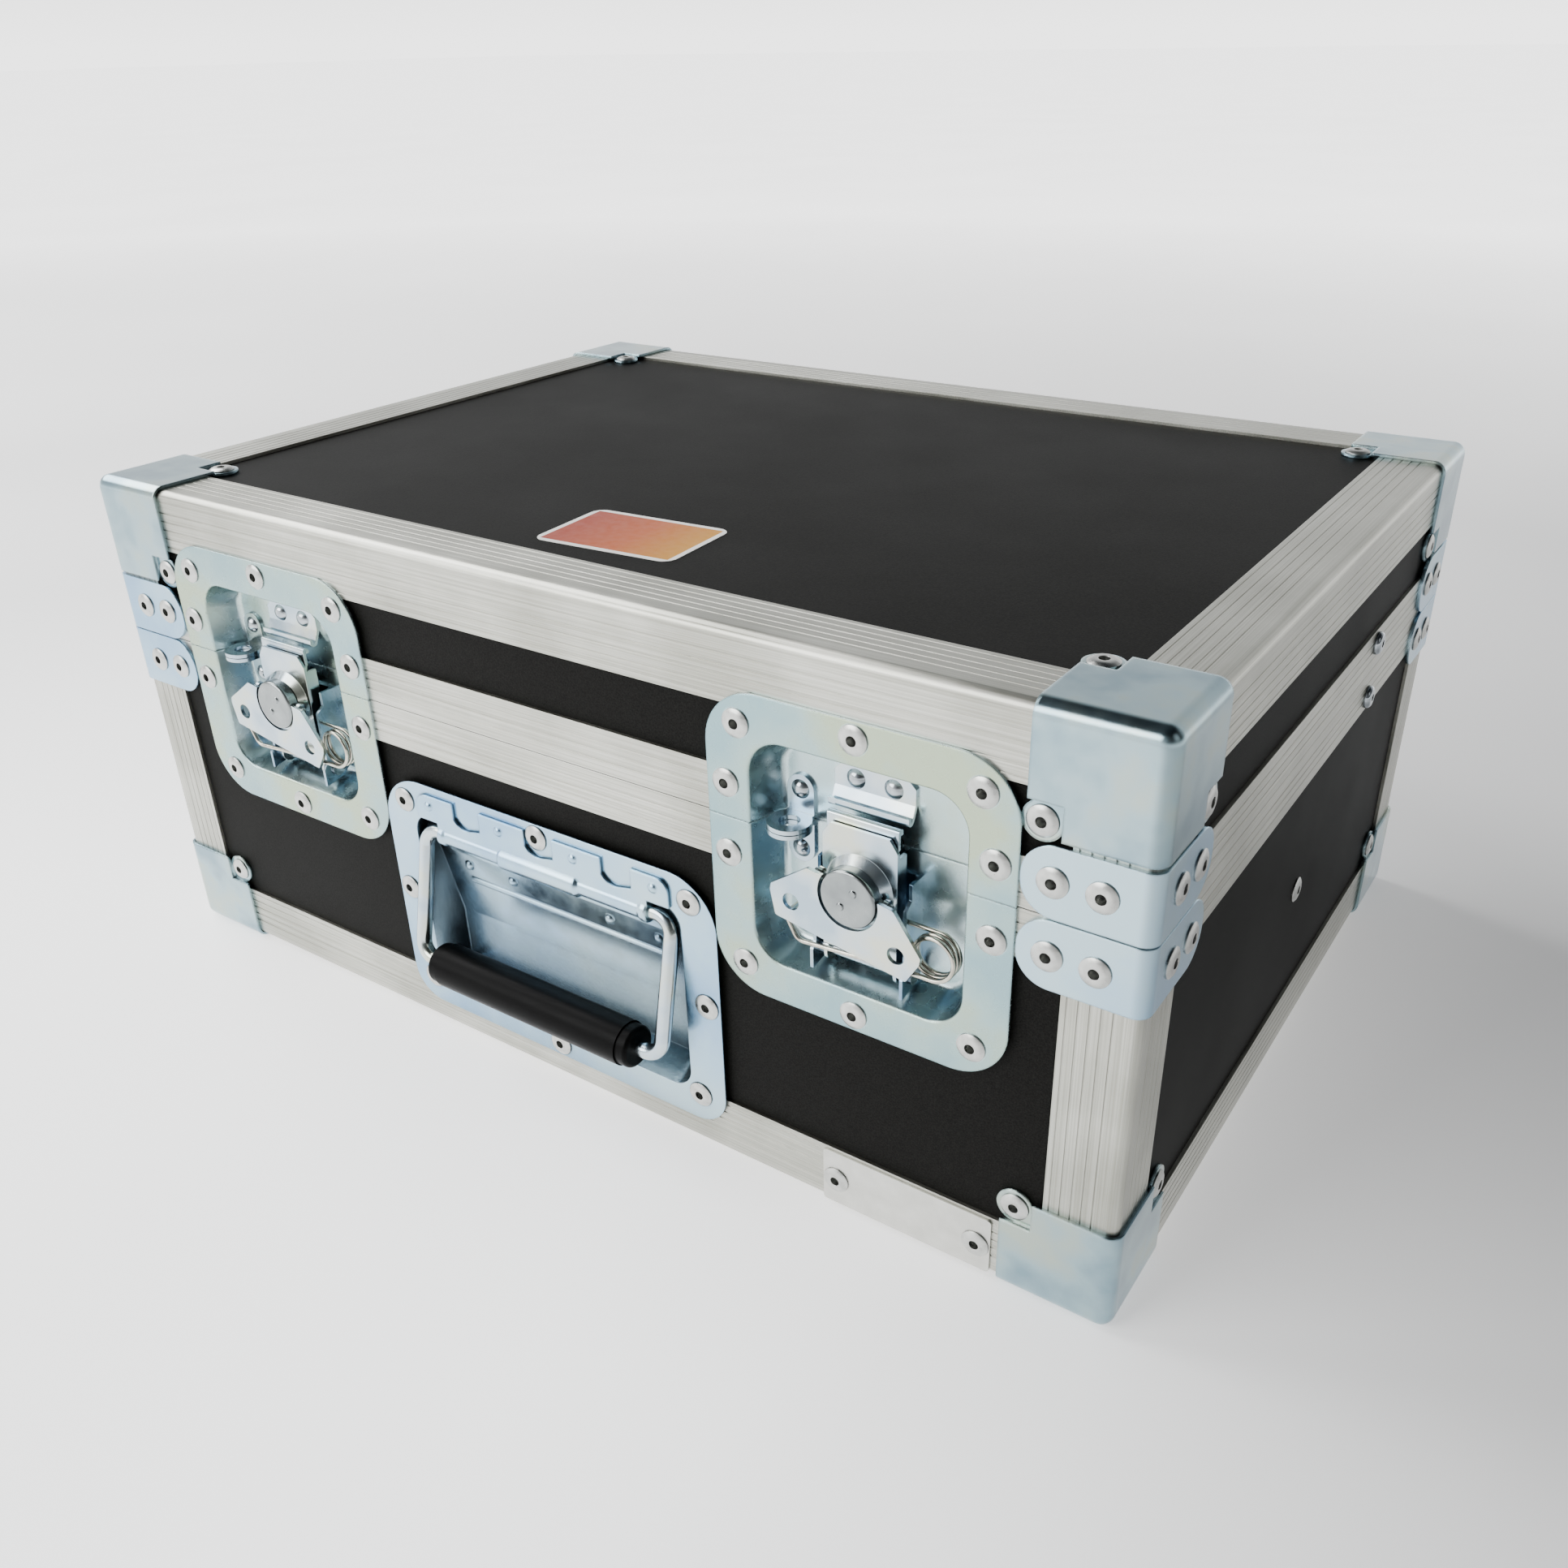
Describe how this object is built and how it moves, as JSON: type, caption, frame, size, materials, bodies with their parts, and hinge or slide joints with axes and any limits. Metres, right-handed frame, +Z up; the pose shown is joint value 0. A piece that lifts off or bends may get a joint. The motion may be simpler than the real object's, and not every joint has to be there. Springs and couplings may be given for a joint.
{
  "type": "flight case",
  "caption": "Rigid lidded case with aluminium edges, corner caps, recessed twist latches with butterfly wings, a folding handle, rear hinges, a lid stay and a foam-lined, divided hollow.",
  "frame": {"origin": "under the middle of the case's bounding box, level with the underside of the bottom corner caps", "axes": "+X to the right seen from the latches, -Y out of the latch side, +Z up"},
  "size_m": [0.4698, 0.3596, 0.215],
  "materials": {
    "black_board": "matt black laminate",
    "aluminium_profile": "grooved, satin anodised",
    "zinc_plate": "clear zinc plate",
    "rivet_aluminium": "bright",
    "rivet_steel": "bright zinc plate",
    "nickel_bright": "bright nickel plate",
    "grip_rubber": "satin",
    "lining_foam": "open-cell foam"
  },
  "bodies": {
    "base": {"base_bottom_panel": "black_board", "base_front_panel": "black_board", "base_back_panel": "black_board", "base_left_panel": "black_board", "base_right_panel": "black_board", "base_edge_profiles": "aluminium_profile", "base_closure_profiles": "aluminium_profile", "base_corner_caps": "zinc_plate", "base_corner_braces": "zinc_plate", "base_blind_rivets": "rivet_aluminium", "label_plate": "zinc_plate", "handle_dish": "zinc_plate", "handle_hinge_cover": "zinc_plate", "handle_spring": "nickel_bright", "left_latch_lower_dish": "zinc_plate", "right_latch_lower_dish": "zinc_plate", "left_latch_bracket": "zinc_plate", "right_latch_bracket": "zinc_plate", "latch_pivot_pins": "rivet_steel", "base_padlock_eyes": "zinc_plate", "base_dome_rivets": "rivet_steel", "latch_springs": "nickel_bright", "base_hinge_leaves": "zinc_plate", "hinge_pins": "rivet_steel", "stay_base_screw": "rivet_steel", "divider_board": "black_board", "divider_brackets": "zinc_plate", "floor_foam": "lining_foam", "wall_foam": "lining_foam"},
    "lid": {"lid_top_panel": "black_board", "lid_front_panel": "black_board", "lid_back_panel": "black_board", "lid_left_panel": "black_board", "lid_right_panel": "black_board", "lid_edge_profiles": "aluminium_profile", "lid_closure_profiles": "aluminium_profile", "lid_corner_caps": "zinc_plate", "lid_corner_braces": "zinc_plate", "lid_blind_rivets": "rivet_aluminium", "left_latch_upper_dish": "zinc_plate", "right_latch_upper_dish": "zinc_plate", "latch_keepers": "zinc_plate", "lid_padlock_eyes": "zinc_plate", "lid_dome_rivets": "rivet_steel", "lid_hinge_leaves": "zinc_plate", "stay_lid_screw": "rivet_steel", "lid_foam": "lining_foam"},
    "handle": {"handle_bail": "nickel_bright", "handle_grip": "grip_rubber"},
    "stay_lower": {"stay_lower_link": "zinc_plate"},
    "stay_upper": {"stay_upper_link": "zinc_plate"},
    "left_carrier": {"left_latch_carrier": "zinc_plate"},
    "left_hook": {"left_latch_hook": "zinc_plate"},
    "left_knob": {"left_latch_knob": "nickel_bright"},
    "left_wing": {"left_latch_wing": "zinc_plate"},
    "right_carrier": {"right_latch_carrier": "zinc_plate"},
    "right_hook": {"right_latch_hook": "zinc_plate"},
    "right_knob": {"right_latch_knob": "nickel_bright"},
    "right_wing": {"right_latch_wing": "zinc_plate"}
  },
  "joints": [
    {"name": "lid_hinge", "type": "hinge", "parent": "base", "child": "lid", "pos_m": [0, 0.17579, 0.149], "axis": [-1, 0, 0], "range_deg": [0, 100]},
    {"name": "stay_lower_turn", "type": "hinge", "parent": "base", "child": "stay_lower", "pos_m": [0.2206, 0.06679, 0.1377], "axis": [-1, 0, 0], "range_deg": [0, 100]},
    {"name": "stay_upper_turn", "type": "hinge", "parent": "stay_lower", "child": "stay_upper", "pos_m": [0.2188, -0.04221, 0.149], "axis": [-1, 0, 0], "range_deg": [-100, 0]},
    {"name": "handle_swing", "type": "hinge", "parent": "base", "child": "handle", "pos_m": [0, -0.15861, 0.099], "axis": [-1, 0, 0], "range_deg": [0, 80], "stiffness_Nm_per_rad": 0.2, "springref_deg": -17.19},
    {"name": "left_latch_tilt", "type": "hinge", "parent": "base", "child": "left_carrier", "pos_m": [-0.1368, -0.15271, 0.10665], "axis": [1, 0, 0], "range_deg": [0, 6]},
    {"name": "left_latch_turn", "type": "hinge", "parent": "left_carrier", "child": "left_knob", "pos_m": [-0.1368, -0.15921, 0.13515], "axis": [0, -1, 0], "range_deg": [0, 180]},
    {"name": "left_hook_slide", "type": "slide", "parent": "left_carrier", "child": "left_hook", "axis": [0, 0, 1], "range_m": [0, 0.004]},
    {"name": "left_wing_fold", "type": "hinge", "parent": "left_knob", "child": "left_wing", "pos_m": [-0.13638, -0.16101, 0.13761], "axis": [-0.986, 0, 0.1668], "range_deg": [0, 95]},
    {"name": "right_latch_tilt", "type": "hinge", "parent": "base", "child": "right_carrier", "pos_m": [0.1368, -0.15271, 0.10665], "axis": [1, 0, 0], "range_deg": [0, 6]},
    {"name": "right_latch_turn", "type": "hinge", "parent": "right_carrier", "child": "right_knob", "pos_m": [0.1368, -0.15921, 0.13515], "axis": [0, -1, 0], "range_deg": [0, 180]},
    {"name": "right_hook_slide", "type": "slide", "parent": "right_carrier", "child": "right_hook", "axis": [0, 0, 1], "range_m": [0, 0.004]},
    {"name": "right_wing_fold", "type": "hinge", "parent": "right_knob", "child": "right_wing", "pos_m": [0.13722, -0.16101, 0.13761], "axis": [-0.986, 0, 0.1668], "range_deg": [0, 95]}
  ],
  "couplings": [
    {"joint": "stay_lower_turn", "follows": "lid_hinge", "ratio": 1},
    {"joint": "stay_upper_turn", "follows": "lid_hinge", "ratio": -1},
    {"joint": "left_hook_slide", "follows": "left_latch_turn", "m_per_rad": 0.00127},
    {"joint": "right_hook_slide", "follows": "right_latch_turn", "m_per_rad": 0.00127}
  ]
}
